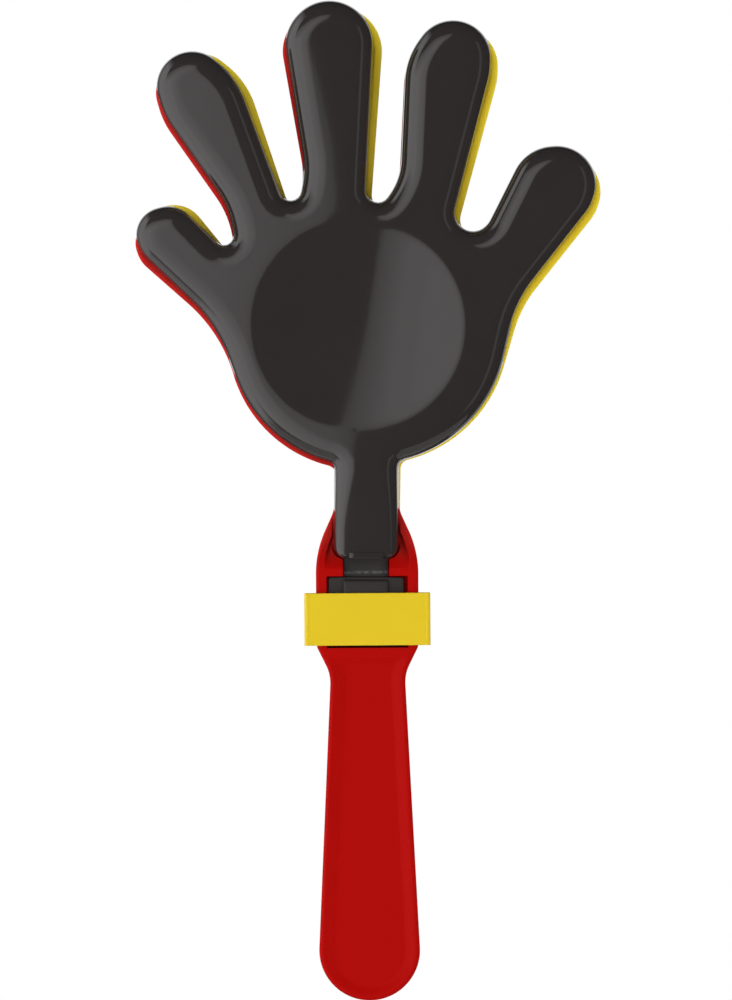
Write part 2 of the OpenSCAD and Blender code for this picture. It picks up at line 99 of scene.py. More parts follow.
# grids of points (rows, columns, xyz in mm) gathered into one mesh
class Skin:
    def __init__(self):
        self.points = []
        self.faces = []
        self.count = 0

    def add(self, grid, wrapColumns=False, wrapRows=False):
        rows, columns = grid.shape[:2]
        at = self.count + np.arange(rows * columns).reshape(rows, columns)
        if wrapColumns:
            at = np.hstack([at, at[:, :1]])
        if wrapRows:
            at = np.vstack([at, at[:1]])
        corners = [at[:-1, :-1], at[1:, :-1], at[1:, 1:], at[:-1, 1:]]
        self.faces.append(np.stack(corners, -1).reshape(-1, 4))
        self.points.append(grid.reshape(-1, 3))
        self.count += rows * columns

    def piece(self, name, material, sharpAngle=40):
        mesh = bpy.data.meshes.new(name)
        points = np.concatenate(self.points) * mm
        mesh.from_pydata(points.tolist(), [], np.concatenate(self.faces).tolist())
        work = bmesh.new()
        work.from_mesh(mesh)
        bmesh.ops.remove_doubles(work, verts=work.verts, dist=2e-6)
        bmesh.ops.recalc_face_normals(work, faces=work.faces)
        work.to_mesh(mesh)
        work.free()
        mesh.shade_smooth()
        mesh.set_sharp_from_angle(angle=np.radians(sharpAngle))
        mesh.materials.append(material)
        obj = bpy.data.objects.new(name, mesh)
        bpy.context.scene.collection.objects.link(obj)
        print(name, len(mesh.polygons), "faces")
        return obj


def grid3(x, y, z):
    x, y, z = np.broadcast_arrays(x, y, z)
    return np.stack([x, y, z], -1)


# shader sums written as sums: wraps one output socket
class Val:
    def __init__(self, tree, socket):
        self.tree = tree
        self.socket = socket

    def math(self, operation, *others, flip=False):
        node = self.tree.nodes.new("ShaderNodeMath")
        node.operation = operation
        terms = [self, *others]
        if flip:
            terms = terms[::-1]
        for socket, term in zip(node.inputs, terms):
            setInput(self.tree, socket, term)
        return Val(self.tree, node.outputs[0])

    def clamped(self):
        return self.math("MINIMUM", 1.0).math("MAXIMUM", 0.0)

    def __add__(self, other):
        return self.math("ADD", other)

    def __radd__(self, other):
        return self.math("ADD", other)

    def __sub__(self, other):
        return self.math("SUBTRACT", other)

    def __rsub__(self, other):
        return self.math("SUBTRACT", other, flip=True)

    def __mul__(self, other):
        return self.math("MULTIPLY", other)

    def __rmul__(self, other):
        return self.math("MULTIPLY", other)

    def __truediv__(self, other):
        return self.math("DIVIDE", other)

    def __rtruediv__(self, other):
        return self.math("DIVIDE", other, flip=True)


def setInput(tree, socket, value):
    if isinstance(value, Val):
        tree.links.new(value.socket, socket)
    else:
        socket.default_value = value


def addNode(tree, kind, settings=None, sockets=None, output=0):
    node = tree.nodes.new("ShaderNode" + kind)
    for name, value in (settings or {}).items():
        setattr(node, name, value)
    for name, value in (sockets or {}).items():
        setInput(tree, node.inputs[name], value)
    return Val(tree, node.outputs[output])


def mixColour(tree, factor, low, high):
    node = tree.nodes.new("ShaderNodeMix")
    node.data_type = "RGBA"
    setInput(tree, node.inputs[0], factor)
    setInput(tree, node.inputs[6], low)
    setInput(tree, node.inputs[7], high)
    return Val(tree, node.outputs[2])


def noise(tree, coords, scale, detail=2.0, roughness=0.5):
    sockets = {"Vector": coords, "Scale": scale, "Detail": detail, "Roughness": roughness}
    return addNode(tree, "TexNoise", None, sockets, "Fac")


def shaded(colour, share):
    return (*(channel * share for channel in colour), 1.0)


# Moulded plastic: the pigment drifts a little over centimetres, fine grain in the polish,
# and two scales of waviness (flow marks and orange peel) bend the reflections. Some plastics get a
# painted highlight, a lighter colour on thin upper parts in place of light, or are whitened along a fold.
def plastic(name, settings):
    material = bpy.data.materials.new(name)
    material.use_nodes = True
    tree = material.node_tree
    surface = tree.nodes["Principled BSDF"]
    coords = addNode(tree, "TexCoord", output="Object")
    drift = noise(tree, coords, settings["driftScale"], 3.0)
    low = shaded(settings["colour"], 1 - settings["drift"])
    high = shaded(settings["colour"], 1 + settings["drift"])
    colour = mixColour(tree, drift, low, high)
    height = addNode(tree, "SeparateXYZ", None, {"Vector": coords}, "Z")
    # painted highlight: thin parts above a height get a lighter colour in place of the light they would
    # catch
    if "paintedHighlightFrom" in settings:
        depth = addNode(tree, "SeparateXYZ", None, {"Vector": coords}, "Y").math("ABSOLUTE")
        upper = ((height - settings["paintedHighlightFrom"] * mm) / (settings["paintedHighlightRun"] * mm)).clamped()
        paintedHighlight = upper * ((settings["paintedHighlightDepth"] * mm - depth) / (settings["paintedHighlightEase"] * mm)).clamped()
        colour = mixColour(tree, paintedHighlight * (0.8 + 0.2 * drift), colour, shaded(settings["paintedHighlightColour"], 1))
    if "foldAt" in settings:
        away = (height - settings["foldAt"] * mm) / (settings["foldWidth"] * mm)
        line = 1.0 / (1.0 + away * away * away * away)
        broken = noise(tree, coords, settings["foldGrain"], 3.0) * settings["foldBreak"] - 1.0
        white = (line * broken).clamped()
        colour = mixColour(tree, white, colour, shaded(settings["foldColour"], 1))
    grain = noise(tree, coords, settings["grainScale"], 3.0, 0.6)
    rough = settings["roughness"] * (0.7 + 0.6 * grain)
    waves = noise(tree, coords, settings["waveScale"], 2.0)
    peel = noise(tree, coords, settings["peelScale"], 2.0)
    relief = waves * settings["waveHeight"] + peel * settings["peelHeight"]
    bump = addNode(tree, "Bump", None, {"Strength": 1.0, "Distance": mm, "Height": relief}, "Normal")
    setInput(tree, surface.inputs["Base Color"], colour)
    setInput(tree, surface.inputs["Roughness"], rough)
    setInput(tree, surface.inputs["Normal"], bump)
    surface.inputs["IOR"].default_value = settings["ior"]
    surface.inputs["Specular IOR Level"].default_value = settings["gloss"]
    return material


blackLook = {
    "colour": (0.0262, 0.0226, 0.022), "drift": 0.08, "driftScale": 60.0,
    "roughness": 0.045, "grainScale": 1500.0, "ior": 1.5, "gloss": 0.5,
    "waveScale": 170.0, "waveHeight": 0.0036, "peelScale": 620.0, "peelHeight": 0.0006,
}
redLook = {
    "colour": (0.4, 0.0028, 0.0018), "drift": 0.05, "driftScale": 40.0,
    # painted highlight: a lighter red, matched, painted where the moulding is thin above the collar, in
    # place of the light its edges and slopes catch
    "paintedHighlightFrom": 73.0, "paintedHighlightRun": 4.0, "paintedHighlightDepth": 4.0, "paintedHighlightEase": 1.6,
    "paintedHighlightColour": (0.48, 0.016, 0.012),
    "roughness": 0.4, "grainScale": 1200.0, "ior": 1.5, "gloss": 0.03,
    "waveScale": 120.0, "waveHeight": 0.004, "peelScale": 500.0, "peelHeight": 0.001,
}
yellowLook = {
    "colour": (0.715, 0.518, 0.0165), "drift": 0.04, "driftScale": 50.0,
    "roughness": 0.3, "grainScale": 1200.0, "ior": 1.5, "gloss": 0.12,
    "waveScale": 90.0, "waveHeight": 0.003, "peelScale": 400.0, "peelHeight": 0.0004,
}
# stress whitening along the fold of a hinge neck, broken up by a fine noise
foldLook = {"foldAt": 71.0, "foldWidth": 0.35, "foldGrain": 900.0, "foldBreak": 3.2}
hingeLook = {**blackLook, **foldLook, "foldColour": (0.1, 0.1, 0.1), "roughness": 0.5, "gloss": 0.3}
backHingeLook = {**yellowLook, **foldLook, "foldColour": (0.85, 0.75, 0.4)}
backYellowPaintedLightLook = {**yellowLook, "colour": (0.9, 0.7, 0.035)}  # painted light: the collar's yellow painted paler, standing in for light on the back hand's shaded slivers; matched
blackPlastic = plastic("blackPlastic", blackLook)
redPlastic = plastic("redPlastic", redLook)
yellowPlastic = plastic("yellowPlastic", yellowLook)
# a lit copy of the collar's yellow: painted light for the back hand's shaded slivers
backYellowPaintedLight = plastic("backYellowPaintedLight", backYellowPaintedLightLook)
blackHinge = plastic("blackHinge", hingeLook)
yellowHinge = plastic("yellowHinge", backHingeLook)
print("plastics mixed")


# The hand outline, in mm. Circles stand at an angle from straight up, + to the right, and a distance
# from the palm's middle. Each finger has a tip circle and, so far below it, its half width and the
# radius of its long sides. The webs between the fingers start with a wide curve on their right side:
# its radius, and how far it turns.
hand = {
    "stemHalf": 8.9, "stemJoint": 2.5,
    "littleHeel": (3.0, 3.3, 38.4), "thumbHeel": (0.7, 1.8, 37.7),
    "tips": ((52.0, 70.1, 11.0, 1.35, 11.65, 12.2), (18.25, 82.8, 10.7, 4.4, 11.6, 21.0),
             (-6.1, 83.4, 11.8, 0.8, 12.35, 12.5), (-33.9, 85.0, 9.8, 6.2, 11.1, 24.0),
             (-62.4, 62.3, 7.6, 1.6, 8.6, 9.0)),
    "hollows": ((93.9, 76.5, 35.0), (42.1, 47.3, 5.0), (6.9, 41.7, 3.3), (-25.2, 46.0, 3.1),
                (-53.1, 47.9, 2.8), (-105.1, 79.0, 42.3)),
    "webs": ((6.5, 3.0), (18.0, 21.0), (25.0, 21.0), (26.0, 27.0)),
    "webSlack": 1.003,
}


# Circles of one hand round its palm. trims make the two heels smaller, shifts move the fingers aside.
def handCircles(palm, trims, shifts):
    def reach(angle, far, r, aside=0.0):
        a = np.radians(angle)
        x = palm[0] + far * np.sin(a) + aside * np.cos(a)
        z = palm[1] + far * np.cos(a) - aside * np.sin(a)
        return x, z, r

    def joint(side, heel):
        x = side * (hand["stemHalf"] + hand["stemJoint"])
        drop = np.sqrt((heel[2] + hand["stemJoint"]) ** 2 - (x - heel[0]) ** 2)
        return x, heel[1] - drop, -hand["stemJoint"]

    def webSide(hollow, angle, r):
        a = np.radians(angle)
        away = hand["webSlack"] * (r + hollow[2])
        return hollow[0] - away * np.cos(a), hollow[1] + away * np.sin(a), -r

    heels = zip((hand["littleHeel"], hand["thumbHeel"]), trims)
    right, left = [(palm[0] + x, palm[1] + z, r - trim) for (x, z, r), trim in heels]
    hollows = [reach(angle, far, -r) for angle, far, r in hand["hollows"]]
    circles = [joint(1, right), right, hollows[0]]
    for k, (angle, far, r, down, wide, long) in enumerate(hand["tips"]):
        asides = (shifts[k] + wide - long, shifts[k] + long - wide)
        sides = [reach(angle, far - down, long, aside) for aside in asides]
        circles += [sides[0], reach(angle, far, r, shifts[k]), sides[1]]
        if k < len(hand["webs"]):
            webRadius, webTurn = hand["webs"][k]
            circles.append(webSide(hollows[k + 1], angle + webTurn, webRadius))
        circles.append(hollows[k + 1])
    return [*circles, left, joint(-1, left)]


# cuts of a hand belt: foot, right stem base, then hollow and tip by turns, left stem base, foot
def handCuts(foot, firstJoint, count):
    cuts = [2 * (firstJoint + k) + 0.5 for k in (2, 4, 7, 9, 12, 14, 17, 19, 22, 24, 26)]
    return [foot, 2 * firstJoint, *cuts, 2 * (firstJoint + 28) + 1, 2 * count + foot]


stemSteps, heelSteps, fingerSteps = 46, 60, 64
handCounts = [stemSteps, heelSteps] + [fingerSteps] * 10 + [heelSteps, stemSteps]


# An outer moulding sits askew in its pocket: turned by some degrees about its foot, then moved aside
# and down. The back hand, seen only as slivers, is also fitted in height, palm, heel and fingers.
play = {"turnAt": 59.75, "aside": -0.4}
frontPlay = {"turn": 0.6, "down": 0.0, "tall": 1.0}
backPlay = {"turn": 1.4, "down": 0.4, "tall": 1.0}
frontHandPlay = {**frontPlay, "palmX": 0.0, "trims": (0, 0), "shifts": (0, 0, 0, 0, 0)}
backHandPlay = {
    "turn": 1.4, "down": 0.1, "tall": 0.991,
    "palmX": -0.3, "trims": (0.4, 0), "shifts": (-0.3, -0.1, 0.3, 0.5, 0.9),
}


def seated(grid, fit):
    a = np.radians(fit["turn"])
    x, z = grid[..., 0], (grid[..., 2] - play["turnAt"]) * fit["tall"]
    turnedX = x * np.cos(a) + z * np.sin(a) + play["aside"]
    turnedZ = z * np.cos(a) - x * np.sin(a) + play["turnAt"] - fit["down"]
    return grid3(turnedX, grid[..., 1], turnedZ)


# Fills a hand ring: each lobe is a sheet of straight rows from one side to the other, and the palm
# runs from the lobes' foot rows in to a circle and on to its middle. lift gives y for any x, z.
def fillHand(skin, ring, lift, centre, radius, columns, palmRows, dishRows):
    starts = np.concatenate([[0], np.cumsum(handCounts)])
    total = starts[-1]
    across = np.linspace(0, 1, columns + 1)[None, :, None]
    stem = np.arange(stemSteps + 1)
    sides = [(stemSteps - stem, starts[13] + stem)]
    steps = np.arange(fingerSteps + 1)
    for first in starts[2:12:2]:
        sides.append((first + steps, first + 2 * fingerSteps - steps))
    loops = []
    for one, other in sides:
        rows = ring[one % total][:, None] * (1 - across) + ring[other % total][:, None] * across
        skin.add(grid3(rows[..., 0], lift(rows[..., 0], rows[..., 1]), rows[..., 1]))
        loops.append(rows[0])
    heels = [ring[starts[1]:starts[2]], ring[starts[12]:starts[13]]]
    fingers = [row[:-1] for row in loops[1:]]
    loop = np.concatenate([heels[0], *fingers, heels[1], loops[0][::-1][:-1]])
    out = loop - centre
    toward = out / np.hypot(out[:, 0], out[:, 1])[:, None]
    edge = centre + toward * radius
    share = np.linspace(0, 1, palmRows + 1)[:, None, None] ** 0.8  # rows closer by the dish
    palm = loop * (1 - share) + edge * share
    skin.add(grid3(palm[..., 0], lift(palm[..., 0], palm[..., 1]), palm[..., 1]), wrapColumns=True)
    inward = 1 - np.linspace(0, 1, dishRows + 1)[:, None, None] ** 1.3  # and by its crease
    dish = centre + toward * radius * inward
    skin.add(grid3(dish[..., 0], lift(dish[..., 0], dish[..., 1]), dish[..., 1]), wrapColumns=True)


# Hand shell: open at the back, drafted skirt, rounded shoulder, broad flat crown and a shallow dish.
# Down the stem the shoulder gets slimmer, and a small tab stands on the stem's end.
shell = {
    "palm": np.array([-2.0, 136.7]), "grow": 0.15, "rimAt": 1.45, "depth": 8.0,
    "wall": 1.3, "lip": 2.2, "rimRound": 0.3, "innerEdge": 0.7, "crownEdge": 0.4,
    "skirt": 4.6, "draft": 0.6, "edge": 6.4, "shoulderRows": 26, "leave": 0.3, "rise": 0.56, "arrive": 0.3,
    "stemEnd": 74.8, "corner": 3.5, "endLift": 1.6, "endFrom": 0.65,
    "slim": 0.45, "slimFrom": 108.0, "slimRun": 26.0,
    "dishAt": np.array([-2.4, 140.2]), "dish": 29.0, "dishDepth": 1.7, "dishCrease": 0.08, "dishRing": 28.7,
    "tab": (4.7, 74.85, 76.6, 0.3, 0.2), "tabBase": 6.16, "tabTop": 8.36,
    "outerFill": (22, 14, 22), "innerFill": (10, 8, 10),
}
# The crown isn't quite flat: across x its normal swings from side to side about a ridge line, which
# turns aside at the fingertips and down the stem.
crown = {
    "ridge": -2.5, "ridgeSlope": -0.08, "ridgeFrom": 110.7, "ease": 4.0,
    "turnFrom": 194.0, "turnSlope": -0.22, "lowFrom": 114.0, "lowSlope": 0.22,
    "swing": 0.008, "width": 5.0, "bias": -0.00825, "biasSlope": 0.0000872,
}


# height = depth - bias (x - ridge) - swing width log cosh((x - ridge) / width) - dish bowl
def crownHeight(x, z):
    up = z - crown["ridgeFrom"]
    ease = crown["ease"]
    turned = crown["turnSlope"] * np.logaddexp(0, (z - crown["turnFrom"]) / ease) * ease
    turned = turned - crown["lowSlope"] * np.logaddexp(0, (crown["lowFrom"] - z) / ease) * ease
    off = x - crown["ridge"] - crown["ridgeSlope"] * up - turned
    bend = np.log(np.cosh(off / crown["width"])) * crown["width"] * crown["swing"]
    level = shell["depth"] - (crown["bias"] + crown["biasSlope"] * up) * off - bend
    q = 1 - ((x - shell["dishAt"][0]) ** 2 + (z - shell["dishAt"][1]) ** 2) / shell["dish"] ** 2
    bowl = 0.5 * shell["dishDepth"] * (q + np.sqrt(q * q + shell["dishCrease"] ** 2))
    return level - bowl


# outline of a shell, moved in by inset and with its stem's end raised by lift
def shellCircles(inset, lift, fit):
    inset = inset - shell["grow"]
    corner = max(shell["corner"] - inset, 0.3)
    x = hand["stemHalf"] - inset - corner
    z = shell["stemEnd"] + lift + corner
    outline = handCircles(shell["palm"] + (fit["palmX"], 0.0), fit["trims"], fit["shifts"])
    rest = [(cx, cz, r - inset) for cx, cz, r in outline]
    return [(-x, z, corner), (x, z, corner), *rest]


# Shoulder from the skirt's slope to flat: a cubic with its end handles along the two tangents
def shoulder():
    t = np.linspace(0, 1, shell["shoulderRows"])
    wide = shell["edge"] - shell["draft"]
    first, second, third = 3 * t * (1 - t) ** 2, 3 * t**2 * (1 - t), t**3
    d = shell["draft"] + first * shell["leave"] + second * wide * shell["arrive"] + third * wide
    h = first * shell["rise"] + second + third
    return d, h


# flat slab in x and z with round corners and a round front edge
def slab(skin, halfWide, low, high, corner, edge, base, top, side):
    def circles(d):
        x = halfWide - corner
        return [(x, low + corner, corner - d), (x, high - corner, corner - d),
                (-x, high - corner, corner - d), (-x, low + corner, corner - d)]

    counts = [10, 8, 20, 8, 10, 10, 8, 20, 8, 10]
    u = evenSteps(circles(0), [-0.5, 0, 1, 2, 3, 3.5, 4, 5, 6, 7, 7.5], counts)
    along, up = quarter(6)
    p = beltPoints(circles(0), u)
    rows = [grid3(p[:, 0], base, p[:, 1])]
    for d, y in zip(along, up):
        p = beltPoints(circles(edge * d), u)
        rows.append(grid3(p[:, 0], top - edge + edge * y, p[:, 1]))
    rows = np.array(rows)
    skin.add(rows * np.array([1, side, 1]), wrapColumns=True)
    half = len(u) // 2
    across = np.linspace(0, 1, 9)[None, :, None]
    for ring in (rows[0], rows[-1]):
        one = ring[np.arange(half + 1)][:, None]
        other = ring[-np.arange(half + 1)][:, None]
        skin.add((one * (1 - across) + other * across) * np.array([1, side, 1]))


# One hand as rings of its outline: from the inner crown down the inside, round the rim, up the skirt
# and over the shoulder to the outer crown, then both crowns filled. A ring's height is a share of the
# way from its low level to the crown.
def handShell(name, material, side, fit):
    base = shellCircles(0.0, 0.0, fit)
    u = evenSteps(base, handCuts(1.5, 2, len(base)), handCounts)
    curveD, curveH = shoulder()
    lift = shell["endLift"] * np.clip((curveH - shell["endFrom"]) / (1 - shell["endFrom"]), 0, 1)
    around = np.linspace(0, np.pi, 9)
    wall, lip, rim, skirt = shell["wall"], shell["lip"], shell["rimRound"], shell["skirt"]
    rows = []

    def ring(inset, endUp, low, share, drop=0.0, slim=1.0):
        p = beltPoints(shellCircles(inset, endUp, fit), u)
        small = beltPoints(shellCircles(inset * slim, endUp * slim, fit), u)
        p = p + (small - p) * smoothStep((shell["slimFrom"] - p[:, 1:]) / shell["slimRun"])
        top = crownHeight(p[:, 0], p[:, 1]) - drop
        rows.append(grid3(p[:, 0], low + share * (top - low), p[:, 1]))
        return p

    innerRing = ring(shell["edge"] + shell["innerEdge"], shell["endLift"] + wall, skirt, 1.0, wall)
    for k in range(len(curveD) - 1, -1, -3):
        ring(curveD[k] + 0.3 + wall * (1 - curveH[k]) * 0.8, lift[k] + wall, skirt, curveH[k], wall)
    for a in around[::-1]:
        half = 0.5 - 0.5 * np.cos(a)
        ring(lip * half, wall * half, rim * (1 - np.sin(a)), 0.0)
    for t in (0.35, 0.7):
        ring(shell["draft"] * t, 0.0, skirt * t, 0.0)
    for d, h, up in zip(curveD, curveH, lift):
        ring(d, up, skirt, h, slim=shell["slim"])
    past = shell["crownEdge"]
    outerRing = ring(shell["edge"] + past, shell["endLift"] + past, skirt, 1.0, slim=shell["slim"])
    skin = Skin()
    skin.add(np.array(rows), wrapColumns=True)
    fillHand(skin, outerRing, crownHeight, shell["dishAt"], shell["dishRing"], *shell["outerFill"])

    def inside(x, z):
        return crownHeight(x, z) - wall

    fillHand(skin, innerRing, inside, shell["dishAt"], shell["dishRing"], *shell["innerFill"])
    slab(skin, *shell["tab"], shell["tabBase"], shell["tabTop"], 1)
    skin.points = [seated(p * (1, side, 1) + (0, side * shell["rimAt"], 0), fit) for p in skin.points]
    return skin.piece(name, material, 50)


frontHand = handShell("frontHandShell", blackPlastic, -1, frontHandPlay)
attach(frontHand, "front_hand")
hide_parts("front_hand")
# the back hand wears the paler yellow, painted light on its shaded slivers
backHand = handShell("backHandShell", backYellowPaintedLight, 1, backHandPlay)
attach(backHand, "back_hand")
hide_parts("back_hand")
print("hand shells made")


# Centre moulding: a thin hand plate, and the handle as one face with everything on it as a height
plate = {
    "palm": np.array([-2.0, 135.4]), "heelTrims": (1.0, -0.2), "shifts": (0.0, 0.3, -0.1, 0.3, -0.4),
    "inset": 0.5, "half": 1.1, "edge": 1.0, "low": 47.0, "lowHalf": 11.0, "corner": 1.5,
    "fillCircle": 20.0, "fill": (12, 6, 6),
}
grip = {
    "end": (0.0, -35.1, 14.1), "neck": (21.5, 40.0, -11.0), "shoulder": (10.3, 51.2, 4.0),
    "side": (-15.15, 70.5, 29.5), "hollow": (20.9, 91.5, -12.0), "stem": (11.4, 104.0, -2.5),
    "face": 4.2, "edge": 0.9, "proud": 0.04,
    "rimBand": 4.6, "upperBand": 3.2, "bandFrom": 36.0, "bandRun": 8.0,
    "trayDepth": 1.0, "trayFrom": 1.0, "trayWall": 3.2, "trayTop": 44.7, "trayEase": 3.0,
    "floor": 1.05, "pocketHalf": 11.3, "pocketLow": 49.9, "pocketHigh": 69.8, "barTop": 72.05,
    "ramp": 7.6, "fade": 16.5, "fall": 3.25, "rim": 2.2, "rimWall": 0.8,
    "notchHalf": 6.45, "notchAt": -0.25, "stemGap": 0.5, "step": 0.25,
    # grid rows: heights where their spacing changes, and how many rows lead up to each
    "rowLevels": (43.0, 49.3, 49.9, 50.8, 51.25, 65.0, 69.2, 70.1, 71.8, 72.4, 80.0, 88.5),
    "rowCounts": (50, 18, 10, 3, 10, 8, 8, 14, 5, 6, 30, 24),
}


def mirrored(circles):
    return [(-x, z, r) for x, z, r in circles[::-1]]


def edgeStep(t):
    return smoothStep(t / grip["step"] + 0.5)


# half width left free for the hinge neck and, higher up, for the stem with its round corners
def stemSpace(z):
    corner = shell["corner"]
    below = np.clip(shell["stemEnd"] + corner - z, 0, corner)
    half = hand["stemHalf"] - corner + np.sqrt(corner**2 - below**2)
    return np.maximum(grip["notchHalf"], np.where(z > shell["stemEnd"], half + grip["stemGap"], 0))


# Height of the handle's face at x, z, where d is the distance from the outline. The rim falls away
# above the bar, the tray is a shallow hollow and the ramp a straight slope inside the rim. Pocket and
# slot are cut out of all that, down to the floor.
def faceHeight(x, z, d):
    rim = grip["face"] - grip["fall"] * smoothStep((z - grip["barTop"]) / grip["fade"])
    tray = grip["trayDepth"] * smoothStep((d - grip["trayFrom"]) / grip["trayWall"])
    tray = tray * (1 - smoothStep((z - grip["trayTop"]) / grip["trayEase"]))
    fallen = np.clip((z - grip["barTop"]) / grip["ramp"], 0, 1)
    ramp = grip["face"] - (grip["face"] - grip["floor"]) * fallen
    inside = smoothStep((d - grip["rim"]) / grip["rimWall"])
    high = rim - tray + (np.minimum(ramp, rim) - rim) * inside
    pocket = edgeStep(z - grip["pocketLow"]) * edgeStep(grip["pocketHigh"] - z)
    pocket = pocket * edgeStep(grip["pocketHalf"] - abs(x))
    slot = edgeStep(stemSpace(z) - abs(x - grip["notchAt"])) * edgeStep(z - grip["pocketHigh"] + 0.5)
    return high + (grip["floor"] - high) * np.maximum(pocket, slot)


# Rows run from the right outline to the left one. From the outline in, columns keep their distance d
# from it: side wall, rounded edge, rim and tray wall. The columns between are shares of the width left.
def handleSkin(skin):
    right = [grip[key] for key in ("neck", "shoulder", "side", "hollow", "stem")]
    circles = [(x, z, r + grip["proud"]) for x, z, r in [grip["end"], *right, *mirrored(right)]]

    def band(z):
        upper = smoothStep((z - grip["bandFrom"]) / grip["bandRun"])
        return grip["rimBand"] + (grip["upperBand"] - grip["rimBand"]) * upper

    def outline(u):
        edge = beltPoints(circles, u)
        inward = beltPoints([(x, z, r - 1) for x, z, r in circles], u) - edge
        return edge, inward, edge + inward * band(edge[:, 1:])

    fine = np.linspace(1, 9, 6000)
    level = outline(fine)[2][:, 1]
    levels = (level[0], *grip["rowLevels"])
    spans = zip(levels, levels[1:], grip["rowCounts"])
    z = np.concatenate([np.linspace(*span, endpoint=False) for span in spans])
    u = np.concatenate([np.linspace(0.5, 1, 46)[:-1], np.interp(z, level, fine)])
    edge, inward, inner = outline(u)
    wide = band(edge[:, 1:])
    share = np.linspace(0, 1, 15)[1:]
    zero = np.zeros((len(u), 1))
    rimHigh = faceHeight(edge[:, :1], edge[:, 1:], zero)
    rimHigh = np.where(edge[:, 1:] < grip["barTop"], grip["face"], rimHigh)
    rounding = np.minimum(grip["edge"], 0.4 * rimHigh)
    along, up = quarter(7)
    far = np.hstack([zero, rounding * along, rounding + (wide - rounding) * share])
    x = edge[:, :1] + inward[:, :1] * far
    z = edge[:, 1:] + inward[:, 1:] * far
    high = faceHeight(x, z, far)
    high[:, 1:8] = np.minimum(high[:, 1:8], rimHigh) - rounding * (1 - up)
    high[:, :1] = 0
    middle, slotEdge = np.linspace(0, 0.5, 6), np.linspace(0.52, 0.66, 10)
    across = np.concatenate([middle, slotEdge, np.linspace(0.68, 1, 18)[:-1]])
    across = np.concatenate([across[::-1], -across[1:]])
    midX = inner[:, :1] * across
    midZ = inner[:, 1:] + 0 * midX
    below = np.hypot(midX, midZ - grip["end"][1])
    midD = np.where(midZ < grip["end"][1], grip["end"][2] - below, wide + inner[:, :1] - abs(midX))
    xs = np.hstack([x, midX, -x[:, ::-1]])
    zs = np.hstack([z, midZ, z[:, ::-1]])
    left = faceHeight(-x, z, far)
    left[:, :8] = high[:, :8]
    ys = np.hstack([high, faceHeight(midX, midZ, midD), left[:, ::-1]])
    xs, ys, zs = (np.vstack([part, part[-1:] * keep]) for part, keep in ((xs, 1), (ys, 0), (zs, 1)))
    for side in (-1, 1):
        skin.add(grid3(xs, side * ys, zs))


# Flat hand with a quarter round on both sides of its edge, on a foot that is hidden in the handle
def plateSkin(skin):
    foot = [(side * plate["lowHalf"], plate["low"], plate["corner"]) for side in (-1, 1)]
    side = [grip["side"], grip["hollow"]]
    outline = handCircles(plate["palm"], plate["heelTrims"], plate["shifts"])
    palm = [(x, z, r - plate["inset"]) for x, z, r in outline]

    def circles(d):
        return [(x, z, r - d) for x, z, r in [*foot, *side, *palm, *mirrored(side)]]

    u = evenSteps(circles(0), handCuts(1.5, 4, len(circles(0))), handCounts)
    along, up = quarter(6)
    rows = []
    for d, y in zip(1 - along[::-1], up[::-1]):
        p = beltPoints(circles(plate["edge"] * (1 - d)), u)
        rows.append(grid3(p[:, 0], plate["half"] - plate["edge"] * (1 - y), p[:, 1]))
    ring = beltPoints(circles(plate["edge"]), u)
    front = np.array(rows)
    skin.add(np.concatenate([front, front[::-1] * np.array([1, -1, 1])]), wrapColumns=True)
    for y in (-plate["half"], plate["half"]):
        fillHand(skin, ring, lambda x, z: y + 0 * x, plate["palm"], plate["fillCircle"], *plate["fill"])


centreSkin = Skin()
handleSkin(centreSkin)
plateSkin(centreSkin)
handle = centreSkin.piece("handleMoulding", redPlastic, 38)
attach(handle, "handle")
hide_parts("handle")
print("handle made")


# Collar: one wall section carried round a rectangle
collarSize = {"half": (17.6, 6.05), "low": 50.45, "high": 65.15, "wall": 1.7, "corner": 0.8, "edge": 0.22}


def collarSkin():
    hx, hy = collarSize["half"]
    r, e, wall = collarSize["corner"], collarSize["edge"], collarSize["wall"]
    low, high = collarSize["low"], collarSize["high"]

    def plan(d):
        return [(sx * (hx - r), sy * (hy - r), r - d) for sx, sy in ((-1, -1), (1, -1), (1, 1), (-1, 1))]

    u = evenSteps(plan(0), [0, 1, 2, 3, 4, 5, 6, 7, 8], [10, 60, 10, 20, 10, 60, 10, 20])
    along, up = quarter(5)
    inset = np.concatenate([e * along, wall - e * along[::-1], wall - e * along, e * along[::-1]])
    top, bottom = high - e + e * up, low + e - e * up
    z = np.concatenate([top, top[::-1], bottom, bottom[::-1]])
    rows = []
    for d, level in zip(inset, z):
        p = beltPoints(plan(d), u)
        rows.append(grid3(p[:, 0], p[:, 1], level))
    skin = Skin()
    skin.add(np.array(rows), wrapColumns=True, wrapRows=True)
    return skin


collar = collarSkin().piece("collarBand", yellowPlastic, 35)
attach(collar, "handle")
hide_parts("collar")
print("collar made")


# Hinge feet: a flat T-shaped foot with a raised strip, and the thin neck up to the hand
foot = {
    "half": 10.6, "low": 50.2, "high": 69.6, "corner": 1.0, "edge": 0.3, "base": 1.12, "wing": 3.3,
    "stripHalf": 6.2, "strip": 4.3, "stripLow": 50.4, "stripEnd": 68.2,
    "easeFrom": 68.4, "stripTop": 69.9, "ease": 1.8,
    "neckFrom": 69.4, "neckEnd": 75.6, "neckLow": 1.45, "neckHigh": 1.95, "neckEdge": 0.12,
    "groove": 0.16, "grooveAt": 71.6, "grooveWidth": 0.7,
}


